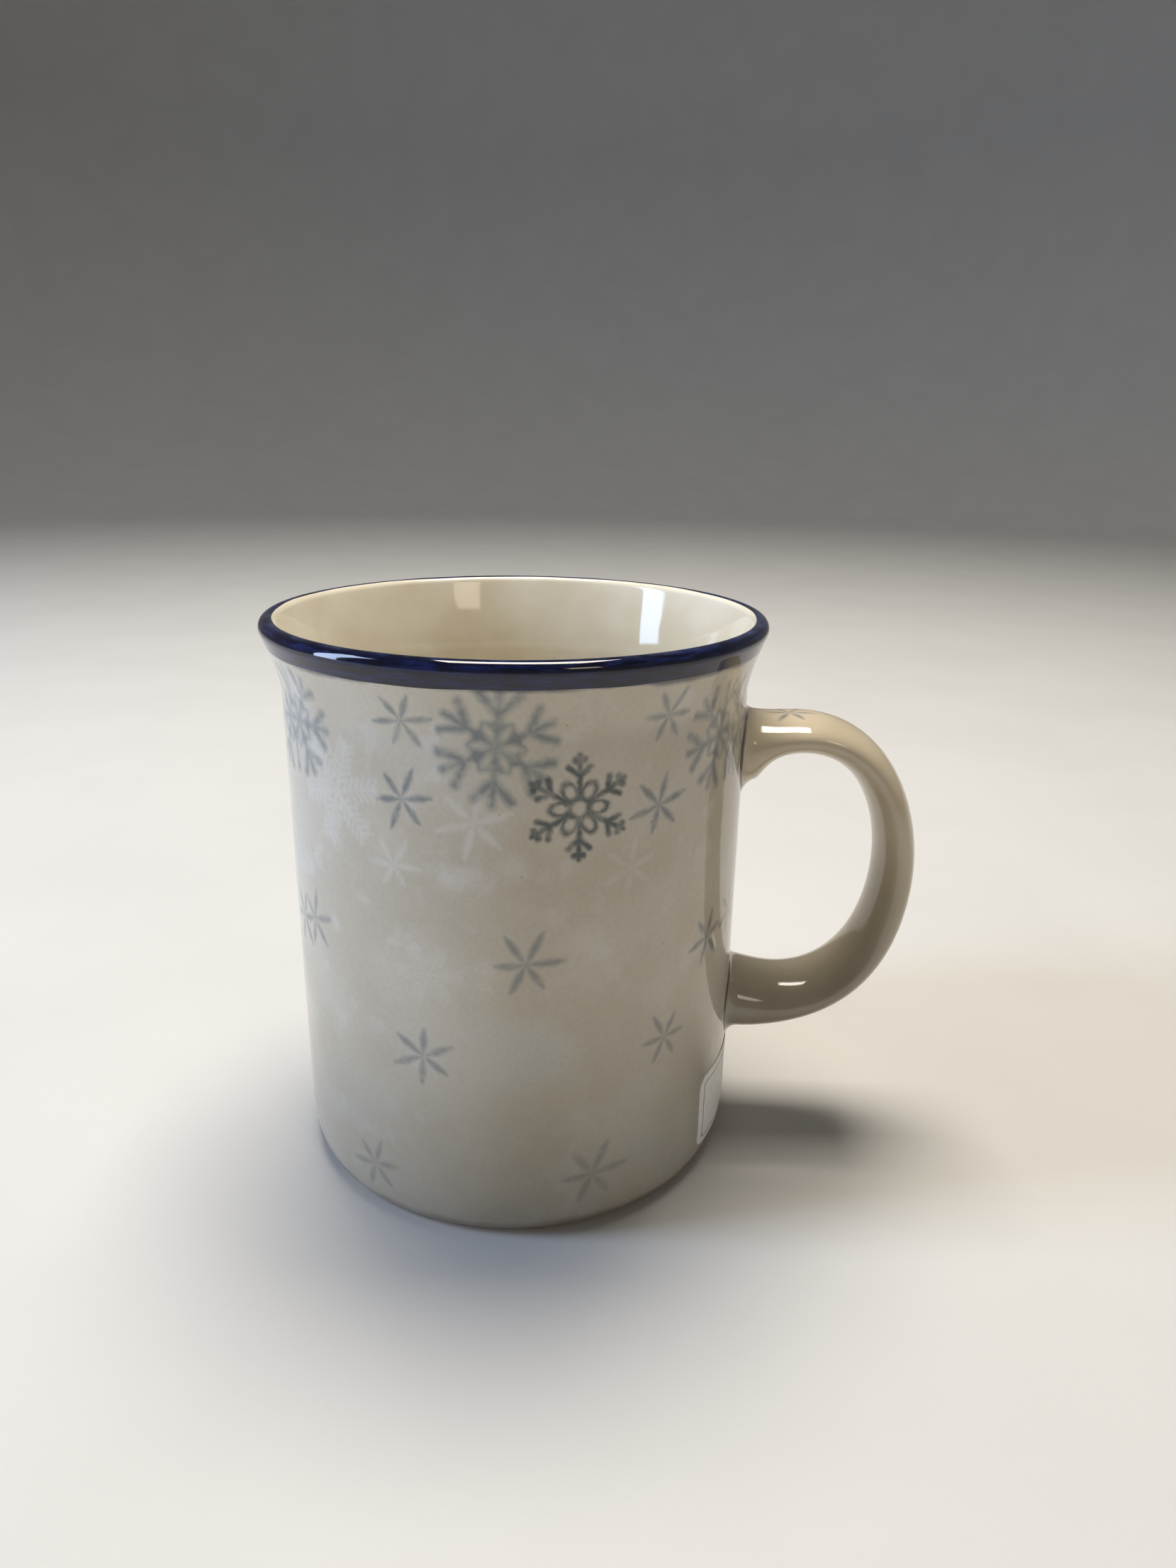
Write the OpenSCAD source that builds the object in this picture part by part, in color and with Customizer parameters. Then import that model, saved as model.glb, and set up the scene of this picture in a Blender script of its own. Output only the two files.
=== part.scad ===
// Stoneware mug with a flared rim, a pulled strap handle and a cobalt band.
// The axis of the cup is Z, the foot stands on Z = 0 and the handle points along +X.

/* [Cup] */
// Height from the table to the top of the lip
height = 100; // [80:1:130]
// Diameter of the straight wall, over the glaze
body_d = 81.3; // [66:0.1:100]
// How far the rim stands out past the wall
rim_flare = 3; // [1.5:0.1:5]
// Height of the flare under the lip
flare_h = 12; // [8:0.5:18]
// How sharply the flare turns out, where 1 is a straight cone
flare_curve = 1.4; // [1.1:0.1:2]
// Radius of the rounded lip
lip_r = 1.6; // [1.2:0.1:2.2]
// Thickness of the wall, with its glaze
wall_t = 4.2; // [3.2:0.1:6]
// Height of the flare on the inside of the wall
inner_flare_h = 15; // [10:0.5:22]
// Height of the inside floor above the table
floor_h = 6.5; // [5:0.1:10]
// Radius between the inside floor and the wall
floor_r = 8; // [4:0.5:14]

/* [Foot] */
// How far the foot is drawn in from the wall
foot_in = 2.7; // [1:0.1:6]
// Height over which the wall curves in to the foot
foot_h = 9.6; // [6:0.1:14]
// Width of the flat ring that the cup stands on
ring_w = 6; // [3:0.5:10]
// Depth of the recess inside the ring
recess_h = 2; // [1:0.1:3]
// Height of bare clay between the table and the glaze
bare_h = 1.5; // [0.8:0.1:3]

/* [Glaze] */
// Thickness of every glaze coat
glaze_t = 0.3; // [0.2:0.05:0.6]
// Height of the cobalt band, down from the top of the lip
band_h = 4.2; // [2:0.1:8]
// How far the cobalt runs over the lip, in degrees past the horizontal
band_over = 112; // [95:1:140]

/* [Handle] */
// Distance from the top of the lip down to the upper root
upper_root_drop = 23.2; // [20:0.1:34]
// Height of the lower root above the table
lower_root_h = 26.6; // [22:0.1:34]
// Distance from the wall to the middle of the strap at its furthest point
reach = 29.5; // [22:0.5:38]
// How far up the loop its furthest point lies, as a share of the way from root to root
apex_share = 0.54; // [0.4:0.01:0.65]
// How much the strap climbs as it leaves the wall at the top
upper_climb = 9; // [4:0.5:16]
// How much the strap drops as it leaves the wall at the bottom
lower_drop = 4; // [0:0.5:10]
// Roundness of the two shoulders of the loop
shoulder = 22.5; // [14:0.5:26]
// Width of the clay strap
strap_w = 16; // [12:0.1:22]
// Thickness of the clay strap
strap_t = 6.2; // [5:0.1:10]
// Width of the strap where it meets the wall
root_w = 18; // [16:0.1:26]
// Thickness of the upper root
upper_root_t = 13; // [8:0.1:16]
// Thickness of the lower root
lower_root_t = 12; // [8:0.1:16]
// Length of the taper from the upper root into the strap
upper_taper = 4; // [3:0.5:12]
// Length of the taper from the lower root into the strap
lower_taper = 13; // [3:0.5:18]
// Thickness of the slip that joins each root to the wall
slip_t = 0.5; // [0.3:0.05:1]
// Gap between the edge of the slip and the glaze round it
slip_gap = 0.05; // [0.02:0.01:0.1]
// How far the slip stays inside the edge of the root
slip_in = 0.5; // [0.1:0.05:0.8]

/* [Price label] */
// Width of the label, straight across
label_w = 40; // [20:1:46]
// Height of the label
label_h = 15; // [8:0.5:16]
// Corner radius of the label
label_r = 2.5; // [1:0.5:7]
// Thickness of the paper
label_t = 0.12; // [0.1:0.01:0.2]
// Gap between the label and the lower root above it
label_gap = 0.8; // [0.5:0.1:3]
// Turn of the label round the cup from under the handle
label_turn = -3; // [-10:1:10]

/* [Hidden] */
$fn = 96;

// steps along each curve of the cup's outline
curve_steps = 9;
lip_steps = 12;
// rings and sides of the strap
strap_steps = 15;
strap_sides = 24;
root_steps = 4;
// how far the strap starts behind the face of the wall, before it is trimmed
root_depth = 3.5;
past = 1;

wall_r = body_d / 2;
rim_r = wall_r + rim_flare;
inner_r = wall_r - wall_t;
clay_r = wall_r - glaze_t;
foot_r = wall_r - foot_in;

// the lip is a round bead, and both flares run into it without a corner
lip_cr = rim_r - lip_r;
lip_cz = height - lip_r;
flare_z = height - flare_h;
inner_flare_z = height - inner_flare_h;
settle_steps = 6;
function outer_lean(n = settle_steps) = n == 0 ? 0 :
    let (a = outer_lean(n - 1))
    atan(flare_curve * (lip_cr + lip_r * cos(a) - wall_r) / (lip_cz - lip_r * sin(a) - flare_z));
function inner_lean(n = settle_steps) = n == 0 ? 0 :
    let (a = inner_lean(n - 1))
    atan(flare_curve * (lip_cr - lip_r * cos(a) - inner_r) / (lip_cz + lip_r * sin(a) - inner_flare_z));
lean_out = outer_lean();
lean_in = inner_lean();
lip_out = [lip_cr + lip_r * cos(lean_out), lip_cz - lip_r * sin(lean_out)];
lip_in = [lip_cr - lip_r * cos(lean_in), lip_cz + lip_r * sin(lean_in)];
band_z = height - band_h;

// a point on a flare from [r0, z0] to end, set back by t along its normal; side is 1 outside, -1 inside
function flare_point(r0, z0, end, z, side, t) =
    let (share = max(z - z0, 0) / (end[1] - z0),
         grow = end[0] - r0,
         r = r0 + grow * pow(share, flare_curve),
         slope = share == 0 ? 0 : flare_curve * grow * pow(share, flare_curve - 1) / (end[1] - z0),
         n = side * [1, -slope] / norm([1, slope]))
    [r, z] - t * n;
function flare_run(r0, z0, end, z_from, z_to, side, t) =
    [for (i = [0 : curve_steps]) flare_point(r0, z0, end, z_from + (z_to - z_from) * i / curve_steps, side, t)];
function lip_run(a_from, a_to, t) =
    [for (i = [0 : lip_steps])
        let (a = a_from + (a_to - a_from) * i / lip_steps)
        [lip_cr + (lip_r - t) * cos(a), lip_cz + (lip_r - t) * sin(a)]];
// the quarter ellipse from the wall in to the foot, from angle a_from to a_to
function foot_point(a, t) =
    let (n = [cos(a) / foot_in, -sin(a) / foot_h])
    [foot_r + foot_in * cos(a), foot_h - foot_h * sin(a)] - t * n / norm(n);
function foot_run(a_from, a_to, t) =
    [for (i = [0 : curve_steps]) foot_point(a_from + (a_to - a_from) * i / curve_steps, t)];
function floor_run(t) =
    [for (i = [0 : curve_steps])
        let (a = -90 * i / curve_steps)
        [inner_r - floor_r + (floor_r + t) * cos(a), floor_h + floor_r + (floor_r + t) * sin(a)]];
function back(points) = [for (i = [len(points) - 1 : -1 : 0]) points[i]];

glaze_line_a = asin((foot_h - bare_h) / foot_h);

// each face of the cup, from its lower end to its upper end, t behind the glazed face
function outer_wall(t) = concat(
    foot_run(glaze_line_a, 0, t),
    flare_run(wall_r, flare_z, lip_out, flare_z, band_z, 1, t));
function outer_band(t) = concat(
    flare_run(wall_r, flare_z, lip_out, band_z, lip_out[1], 1, t),
    lip_run(-lean_out, band_over, t));
function inner_wall(t) = concat(
    lip_run(band_over, 180 - lean_in, t),
    flare_run(inner_r, inner_flare_z, lip_in, lip_in[1], inner_flare_z, -1, t),
    floor_run(t),
    [[0, floor_h - t]]);

module skin(front, rear) rotate_extrude() polygon(concat(front, back(rear)));

// the bare edge of the foot is a soft curve from the glaze line to the ring
bare_top = foot_point(glaze_line_a, glaze_t);
bare_turn_in = 0.7;
bare_curve = [bare_top, [bare_top[0] - bare_turn_in, 0], [foot_r - bare_turn_in, 0]];
function bare_edge(p) = [for (i = [curve_steps : -1 : 1])
    let (s = i / curve_steps) p[0] * pow(1 - s, 2) + p[1] * 2 * s * (1 - s) + p[2] * pow(s, 2)];
ring_in_r = foot_r - bare_turn_in - ring_w;
recess_slope = 2.5;
recess_edge = 0.5;
recess_r = ring_in_r - recess_slope;

module stoneware_cup() {
    color("#b9926b") rotate_extrude() polygon(concat(
        [[0, recess_h],
         [recess_r, recess_h],
         [ring_in_r - recess_edge, recess_edge],
         [ring_in_r, 0]],
        bare_edge(bare_curve),
        outer_wall(glaze_t),
        outer_band(glaze_t),
        inner_wall(glaze_t)));
}

module outer_glaze() {
    color("#a9a59a") difference() {
        skin(outer_wall(0), outer_wall(glaze_t));
        root_prism(upper_root, -slip_in + slip_gap);
        root_prism(lower_root, -slip_in + slip_gap);
    }
}

module inner_glaze() {
    color("#e2d6bb") skin(inner_wall(0), inner_wall(glaze_t));
}

// the glazed disc in the recess under the cup
module base_glaze() {
    color("#d9cdb0") translate([0, 0, recess_h - glaze_t]) cylinder(r = recess_r - glaze_t, h = glaze_t);
}

module cobalt_rim_band() {
    color("#14173a") skin(outer_band(0), outer_band(glaze_t));
}

// The strap follows two Bezier curves in the XZ plane that meet at its furthest point.
upper_root_z = height - upper_root_drop;
span = upper_root_z - lower_root_h;
apex = [wall_r + reach, lower_root_h + apex_share * span];
// how far the loop stays upright above and below its furthest point, as shares of the span
upper_pull = 0.24;
lower_pull = 0.29;
upper_curve = [[wall_r, upper_root_z], [wall_r + shoulder, upper_root_z + upper_climb],
               apex + [0, upper_pull * span], apex];
lower_curve = [apex, apex - [0, lower_pull * span],
               [wall_r + shoulder, lower_root_h - lower_drop], [wall_r, lower_root_h]];
function bezier(p, s) = p[0] * pow(1 - s, 3) + 3 * p[1] * s * pow(1 - s, 2)
    + 3 * p[2] * pow(s, 2) * (1 - s) + p[3] * pow(s, 3);
function unit(v) = v / norm(v);
// rings stand closer together where a root tapers into the strap
function ring_share(i) = pow(i / strap_steps, 1.3);
upper_out = unit(upper_curve[1] - upper_curve[0]);
lower_out = unit(lower_curve[2] - lower_curve[3]);
path = concat(
    [upper_curve[0] - upper_out * root_depth],
    [for (i = [0 : strap_steps]) bezier(upper_curve, ring_share(i))],
    [for (i = [strap_steps - 1 : -1 : 0]) bezier(lower_curve, 1 - ring_share(i))],
    [lower_curve[3] - lower_out * root_depth]);
last = len(path) - 1;
function run_length(i) = i <= 1 ? 0 : run_length(i - 1) + norm(path[min(i, last - 1)] - path[i - 1]);
lengths = [for (i = [0 : last]) run_length(i)];
strap_length = lengths[last];
function fade(x, taper) = exp(-pow(max(x, 0) / taper, 1.5));
function swell(i, mid, upper, lower) = mid
    + (upper - mid) * fade(lengths[i], upper_taper)
    + (lower - mid) * fade(strap_length - lengths[i], lower_taper);
function along(i) = unit(path[min(i + 1, last)] - path[max(i - 1, 0)]);
// ring i of the strap, with its surface t outside the clay
function ring(i, t) =
    let (d = along(i),
         n = [-d[1], d[0]],
         half_t = swell(i, strap_t, upper_root_t, lower_root_t) / 2 + t,
         half_w = swell(i, strap_w, root_w, root_w) / 2 + t)
    [for (k = [0 : strap_sides - 1])
        let (a = 360 * k / strap_sides, p = path[i] + n * half_t * sin(a))
        [p[0], half_w * cos(a), p[1]]];
function rings(t) = [for (i = [0 : last]) each ring(i, t)];
// a tube's wall as triangles, from the point numbered first
function tube_faces(first, inward) = [for (i = [0 : last - 1]) for (k = [0 : strap_sides - 1])
    let (a = first + i * strap_sides + k,
         b = first + i * strap_sides + (k + 1) % strap_sides,
         c = b + strap_sides,
         d = a + strap_sides)
    each (inward ? [[a, b, c], [a, c, d]] : [[c, b, a], [d, c, a]])];
// the flat ring of clay or glaze between two rings with the same number of points
function rim_faces(outer, inner, flip) = [for (k = [0 : strap_sides - 1])
    let (m = (k + 1) % strap_sides)
    each (flip ? [[outer + k, outer + m, inner + m], [outer + k, inner + m, inner + k]]
               : [[inner + m, outer + m, outer + k], [inner + k, inner + m, outer + k]])];

module strap(t) {
    side = strap_sides - 1;
    count = (last + 1) * strap_sides;
    polyhedron(rings(t), concat(
        tube_faces(0, false),
        [for (k = [1 : side - 1]) [0, k, k + 1]],
        [for (k = [1 : side - 1]) [count - 1 - side + k + 1, count - 1 - side + k, count - 1 - side]]));
}
module strap_skin(t) {
    count = (last + 1) * strap_sides;
    end = last * strap_sides;
    polyhedron(concat(rings(t), rings(0)), concat(
        tube_faces(0, false),
        tube_faces(count, true),
        rim_faces(0, count, true),
        rim_faces(end, count + end, false)));
}

module handle() {
    color("#c9a882") difference() {
        strap(0);
        cylinder(r = clay_r + slip_t, h = height);
    }
}

module handle_glaze() {
    color("#d9ccae") difference() {
        strap_skin(glaze_t);
        cylinder(r = wall_r, h = height);
    }
}

// Where each root meets the wall: [height, half width, half height] of its oval footprint.
upper_root = [upper_root_z, root_w / 2, upper_root_t / 2 / upper_out[0]];
lower_root = [lower_root_h, root_w / 2, lower_root_t / 2 / lower_out[0]];
// The footprint as a prism along X, through the wall on the handle's side; grow widens it.
module root_prism(root, grow) {
    translate([wall_r / 2, 0, root[0]]) rotate([90, 0, 90]) linear_extrude(wall_r)
        polygon([for (k = [0 : strap_sides * 2 - 1])
            let (a = 180 * k / strap_sides)
            [(root[1] + grow) * cos(a), (root[2] + grow) * sin(a)]]);
}
module slip_joint(root) {
    color("#c6b190") intersection() {
        difference() {
            cylinder(r = clay_r + slip_t, h = height);
            translate([0, 0, -past]) cylinder(r = clay_r, h = height + 2 * past);
        }
        root_prism(root, -slip_in);
    }
}
module upper_slip_joint() slip_joint(upper_root);
module lower_slip_joint() slip_joint(lower_root);

// The label follows the wall and the start of its curve in to the foot.
label_top = lower_root_h - lower_root[2] - label_gap;
label_low = label_top - label_h;
module rounded_rect(w, h, r) {
    square([w - 2 * r, h], center = true);
    square([w, h - 2 * r], center = true);
    for (x = [-1, 1], y = [-1, 1]) translate([x * (w / 2 - r), y * (h / 2 - r)]) circle(r);
}
module price_label() {
    color("#e6e4dc") intersection() {
        rotate_extrude() polygon(concat(
            foot_run(glaze_line_a, 0, -label_t), [[wall_r + label_t, flare_z]],
            back(concat(foot_run(glaze_line_a, 0, 0), [[wall_r, flare_z]]))));
        rotate([0, 0, label_turn]) translate([0, 0, (label_top + label_low) / 2])
            rotate([90, 0, 90]) linear_extrude(wall_r + past)
                rounded_rect(label_w, label_h, min(label_r, label_h / 2 - label_t));
    }
}

stoneware_cup();
outer_glaze();
inner_glaze();
base_glaze();
cobalt_rim_band();
handle();
handle_glaze();
upper_slip_joint();
lower_slip_joint();
price_label();
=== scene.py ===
"""A straight stoneware mug with a cobalt rim, stamped stars under a clear glaze and a pulled strap handle.

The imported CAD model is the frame. The clay of the cup and strap and the slip at the roots stay as CAD pieces.
The glazes, the cobalt band and the paper label are rebuilt here as finer meshes of the same sizes.
The cup's axis is Z, its foot stands on Z = 0 and the handle points along +X. Sizes are in millimetres, and
each mesh is turned into metres as it is made.
"""
import logging
import math
from dataclasses import dataclass
from enum import Enum
from typing import Sequence

import bmesh
import bpy
import numpy as np
from mathutils import Matrix, Vector


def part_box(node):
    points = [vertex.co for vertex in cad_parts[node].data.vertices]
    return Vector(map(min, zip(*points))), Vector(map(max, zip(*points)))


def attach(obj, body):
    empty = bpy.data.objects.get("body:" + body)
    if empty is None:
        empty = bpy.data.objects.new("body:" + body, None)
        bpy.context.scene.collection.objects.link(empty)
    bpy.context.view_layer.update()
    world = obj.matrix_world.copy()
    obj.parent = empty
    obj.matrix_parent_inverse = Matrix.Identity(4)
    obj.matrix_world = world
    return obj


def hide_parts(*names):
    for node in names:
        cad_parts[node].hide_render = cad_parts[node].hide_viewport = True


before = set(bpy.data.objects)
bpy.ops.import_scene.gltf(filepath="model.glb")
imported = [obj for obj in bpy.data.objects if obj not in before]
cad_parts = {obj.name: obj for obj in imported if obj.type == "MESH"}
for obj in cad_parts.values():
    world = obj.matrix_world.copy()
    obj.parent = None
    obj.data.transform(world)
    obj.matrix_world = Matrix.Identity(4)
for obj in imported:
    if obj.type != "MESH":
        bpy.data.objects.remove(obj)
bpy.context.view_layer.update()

MM = 0.001
SIXTH = math.pi / 3
BODY = "root"
log = logging.getLogger("stoneware_mug")

Socket = bpy.types.NodeSocket
Colour = tuple[float, float, float, float]
Pair = tuple[float, float]
# settings that many nodes share
COLOURS = {"data_type": "RGBA", "out": 2}
EASED = {"interpolation_type": "SMOOTHSTEP"}


def linear(hex_colour: str) -> Colour:
    """Turns an sRGB hex colour into linear light.

    Args:
        hex_colour: The colour as "#rrggbb".

    Returns:
        Red, green, blue and an alpha of 1.
    """
    parts = [int(hex_colour[i : i + 2], 16) / 255 for i in (1, 3, 5)]
    red, green, blue = (p / 12.92 if p <= 0.04045 else ((p + 0.055) / 1.055) ** 2.4 for p in parts)
    return red, green, blue, 1.0


def per_metre(size_mm: float) -> float:
    """Returns the texture scale that makes a pattern repeat about every size_mm."""
    return 1 / (size_mm * MM)


# ----------------------------------------------------------------------------------------
# Materials
# ----------------------------------------------------------------------------------------


class Recipe:
    """One material under construction: its node tree, its Principled shader and the place on the object."""

    def __init__(self, name: str, ior: float, roughness: float) -> None:
        """Starts a material.

        Args:
            name: The material's name.
            ior: Index of refraction of the surface.
            roughness: Roughness where no pattern changes it.
        """
        self.material = bpy.data.materials.new(name)
        self.material.use_nodes = True
        self.tree = self.material.node_tree
        self.shader = self.tree.nodes["Principled BSDF"]
        self.shader.inputs["IOR"].default_value = ior
        self.shader.inputs["Roughness"].default_value = roughness
        self.place = self.add("TexCoord", out="Object")

    def add(
        self, kind: str, *values: object, out: int | str = 0, named: dict | None = None, **settings: object
    ) -> Socket:
        """Adds one node.

        Args:
            kind: The node's type without its ShaderNode prefix, and after a space its operation, if any.
            values: Links, numbers or hex colours for its first inputs, in order. None leaves one alone.
            out: The output to return.
            named: The same for inputs given by name or number.
            settings: The node's own properties.

        Returns:
            The chosen output.
        """
        kind, _, operation = kind.partition(" ")
        node = self.tree.nodes.new(f"ShaderNode{kind}")
        if operation:
            node.operation = operation
        for key, value in settings.items():
            setattr(node, key, value)
        for key, value in [*enumerate(values), *(named or {}).items()]:
            if isinstance(value, Socket):
                self.tree.links.new(value, node.inputs[key])
            elif value is not None:
                node.inputs[key].default_value = linear(value) if isinstance(value, str) else value
        return node.outputs[out]

    def patches(
        self, size_mm: float, low: float, high: float, ends: Pair = (0.0, 1.0), detail: float = 2.0
    ) -> Socket:
        """Makes soft patches over the surface.

        Args:
            size_mm: Rough size of one patch.
            low: Noise, from 0 to 1, at which a patch starts.
            high: Noise at which it is full.
            ends: The values outside a patch and in its middle.
            detail: How many finer octaves break its edge.

        Returns:
            The eased value.
        """
        named = {"Vector": self.place, "Scale": per_metre(size_mm), "Detail": detail}
        return self.add("MapRange", self.add("TexNoise", named=named), low, high, *ends, **EASED)

    def iron_specks(self, ground: Socket, spacing_mm: float, share: float) -> Socket:
        """Scatters the small dark dots that iron grains in the clay leave in a fired glaze.

        Args:
            ground: Colour under the dots.
            spacing_mm: Distance between the places where a dot may be.
            share: Share of those places that have one.

        Returns:
            The colour with dots.
        """
        gap = self.add("TexVoronoi", named={"Vector": self.place, "Scale": per_metre(spacing_mm)})
        chance = self.add("SeparateXYZ", gap.node.outputs["Color"])
        lucky = self.add("Math LESS_THAN", chance, share)
        # a dot is 0.1 to 0.3 mm across, and the distance is counted in units of the spacing
        dot = self.add("MapRange", gap, 0.16 / spacing_mm, 0.05 / spacing_mm, 0.0, 0.8, **EASED)
        cover = self.add("Math MULTIPLY", dot, lucky)
        return self.add("Mix", cover, named={6: ground, 7: "#3b3026"}, **COLOURS)

    def finish(
        self, colour: Socket, roughness: Socket, height: Socket, depth_mm: float
    ) -> bpy.types.Material:
        """Links the patterns to the shader.

        Args:
            colour: The base colour.
            roughness: The roughness.
            height: The relief, from 0 to 1.
            depth_mm: Full swing of the relief.

        Returns:
            The finished material.
        """
        bump = self.add("Bump", named={"Height": height, "Distance": depth_mm * MM, "Strength": 1.0})
        for socket, name in ((colour, "Base Color"), (roughness, "Roughness"), (bump, "Normal")):
            self.tree.links.new(socket, self.shader.inputs[name])
        return self.material


class Sponge(Enum):
    """The carved sponges that print the pattern."""

    STAR = 0
    FERN = 1
    RINGED = 2
    FROST = 3
    DAB = 4


class Slip(Enum):
    """The coloured slips that the sponges are dipped in, in the order in which they are printed."""

    WHITE = "#eef0f0"
    GREY = "#6c767b"
    DARK = "#3f4b4e"


# the carvings that each slip is printed with
CARVINGS = {
    Slip.WHITE: (Sponge.STAR, Sponge.FROST, Sponge.DAB),
    Slip.GREY: (Sponge.STAR, Sponge.FERN),
    Slip.DARK: (Sponge.RINGED,),
}


@dataclass(frozen=True)
class Stamp:
    """One print on an unrolled surface, with its place and radius in millimetres and its turn in degrees."""

    sponge: Sponge
    across: float
    up: float
    radius: float
    turn: float
    slip: Slip
    strength: float


class StampMaps:
    """Writes each stamp's coordinates and style into UV maps of the faces it covers, a pair for each slip."""

    NOWHERE = 9.0
    REACH = 1.15
    GOLDEN = 0.618

    def __init__(self, stamps: Sequence[Stamp], round_mm: float) -> None:
        """Keeps the stamps and the distance round the surface, where it meets itself."""
        self.stamps = stamps
        self.round_mm = round_mm

    @staticmethod
    def place_map(slip: Slip) -> str:
        """Returns the name of the map that holds a slip's places."""
        return f"{slip.name.lower()}_place"

    @staticmethod
    def style_map(slip: Slip) -> str:
        """Returns the name of the map that holds a slip's carvings and strengths."""
        return f"{slip.name.lower()}_style"

    def lay(self, corners: np.ndarray) -> dict[str, np.ndarray]:
        """Gives every face the stamp of each slip that is nearest for its size.

        Args:
            corners: Unrolled corners of each face in millimetres, as faces by corners by two.

        Returns:
            The UV maps, each the shape of corners.
        """
        middle = corners.mean(axis=1, keepdims=True)
        spread = corners - middle
        place = {slip: np.full_like(corners, self.NOWHERE) for slip in Slip}
        style = {slip: np.zeros_like(corners) for slip in Slip}
        nearest = {slip: np.full(len(corners), self.REACH) for slip in Slip}
        for number, stamp in enumerate(self.stamps):
            offset = middle - np.array([stamp.across, stamp.up])
            offset[..., 0] = (offset[..., 0] + self.round_mm / 2) % self.round_mm - self.round_mm / 2
            share = np.linalg.norm(offset[:, 0], axis=1) / stamp.radius
            covered = share < nearest[stamp.slip]
            nearest[stamp.slip][covered] = share[covered]
            c, s = math.cos(math.radians(stamp.turn)), math.sin(math.radians(stamp.turn))
            turned = (offset + spread)[covered] @ np.array([[c, -s], [s, c]])
            place[stamp.slip][covered] = turned / stamp.radius
            seed = 0.1 + 0.8 * (number * self.GOLDEN % 1)
            style[stamp.slip][covered] = (stamp.sponge.value + seed, stamp.strength)
        places = {self.place_map(slip): values for slip, values in place.items()}
        return places | {self.style_map(slip): values for slip, values in style.items()}


class SpongePrint:
    """Draws carved sponges as distance fields with six-fold symmetry, in units of the print's own radius."""

    RAGGED_MM = 0.9
    RAGGED_BY = 0.06
    # the glaze blurs a thin print more than the dark one, and a dab has hardly an edge at all
    EDGES = {Slip.WHITE: 0.08, Slip.GREY: 0.085, Slip.DARK: 0.045}
    DAB_EDGE = 0.5
    # white slip sinks into the pale ground
    COVER = {Slip.WHITE: 0.68, Slip.GREY: 1.0, Slip.DARK: 1.0}
    # width over which two strokes run into each other
    MELT = 0.02

    def __init__(self, recipe: Recipe, slip: Slip) -> None:
        """Reads the coordinates of one slip's stamps and folds them on to one arm."""
        self.recipe = recipe
        self.slip = slip
        add = recipe.add
        raw = add("UVMap", uv_map=StampMaps.place_map(slip))
        wander = add("TexNoise", out=1, named={"Vector": recipe.place, "Scale": per_metre(self.RAGGED_MM)})
        centred = add("VectorMath SUBTRACT", wander, (0.5, 0.5, 0.5))
        self.point = add("VectorMath MULTIPLY_ADD", centred, (self.RAGGED_BY, self.RAGGED_BY, 0), raw)
        x, y, _ = add("SeparateXYZ", self.point).node.outputs
        style = add("SeparateXYZ", add("UVMap", uv_map=StampMaps.style_map(slip))).node.outputs
        self.kind, self.seed = add("Math FLOOR", style[0]), add("Math FRACT", style[0])
        self.strength = style[1]
        self.angle = add("Math ARCTAN2", y, x)
        self.ray = add("Math ROUND", add("Math DIVIDE", self.angle, SIXTH))
        fold = add("Math MULTIPLY_ADD", self.ray, -SIXTH, self.angle)
        self.reach = add("VectorMath LENGTH", self.point, out="Value")
        self.along = add("Math MULTIPLY", self.reach, add("Math COSINE", fold))
        self.off = add("Math ABSOLUTE", add("Math MULTIPLY", self.reach, add("Math SINE", fold)))
        self.arm = add("CombineXYZ", self.along, self.off)
        turned = add("VectorRotate", named={"Vector": self.arm, "Angle": -SIXTH / 2}, rotation_type="Z_AXIS")
        self.between = add("VectorMath ABSOLUTE", turned)

    def join(self, *shapes: Socket) -> Socket:
        """Returns the union of several distance fields."""
        whole = shapes[0]
        for shape in shapes[1:]:
            whole = self.recipe.add("Math SMOOTH_MIN", whole, shape, self.MELT)
        return whole

    def stroke(self, start: Pair, end: Pair, half_width: float) -> Socket:
        """Draws a round-ended stroke of the carving.

        Args:
            start: Where it starts, along and off the arm.
            end: Where it ends.
            half_width: Half its width.

        Returns:
            Distance from its edge, negative inside.
        """
        add = self.recipe.add
        run, rise = end[0] - start[0], end[1] - start[1]
        local = add("Mapping", self.arm, (*start, 0), (0, 0, math.atan2(rise, run)), vector_type="TEXTURE")
        ahead = add("VectorMath MAXIMUM", local, (0, 0, 0))
        near = add("VectorMath MINIMUM", ahead, (math.hypot(run, rise), 0, 0))
        return add("Math SUBTRACT", add("VectorMath DISTANCE", local, near, out="Value"), half_width)

    def petal(self, centre: float, half_length: float, half_width: float) -> Socket:
        """Returns the distance from an oval that lies between two arms, negative inside."""
        add = self.recipe.add
        scale = (half_length, half_width, 1)
        local = add("Mapping", self.between, (centre, 0, 0), (0, 0, 0), scale, vector_type="TEXTURE")
        size = add("VectorMath LENGTH", local, out="Value")
        return add("Math MULTIPLY", add("Math SUBTRACT", size, 1.0), half_width)

    def star(self) -> Socket:
        """Returns six leaf-shaped rays of uneven length."""
        add = self.recipe.add
        ray = add("Math WRAP", self.ray, 6, 0)
        pick = add("CombineXYZ", ray, add("Math ROUND", add("Math MULTIPLY", self.seed, 40)))
        chance = add("TexWhiteNoise", named={"Vector": pick}, noise_dimensions="2D")
        length = add("MapRange", chance, 0.0, 1.0, 0.74, 1.0)
        share = add("Math POWER", add("Math DIVIDE", self.along, length), 1.2)
        bulge = add("Math SINE", add("Math MULTIPLY", share, math.pi))
        leaf = add("Math SUBTRACT", self.off, add("Math MULTIPLY_ADD", bulge, 0.075, 0.022))
        tip = add("Math SUBTRACT", self.along, length)
        return self.join(add("Math MAXIMUM", leaf, tip), add("Math SUBTRACT", self.reach, 0.06))

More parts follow.
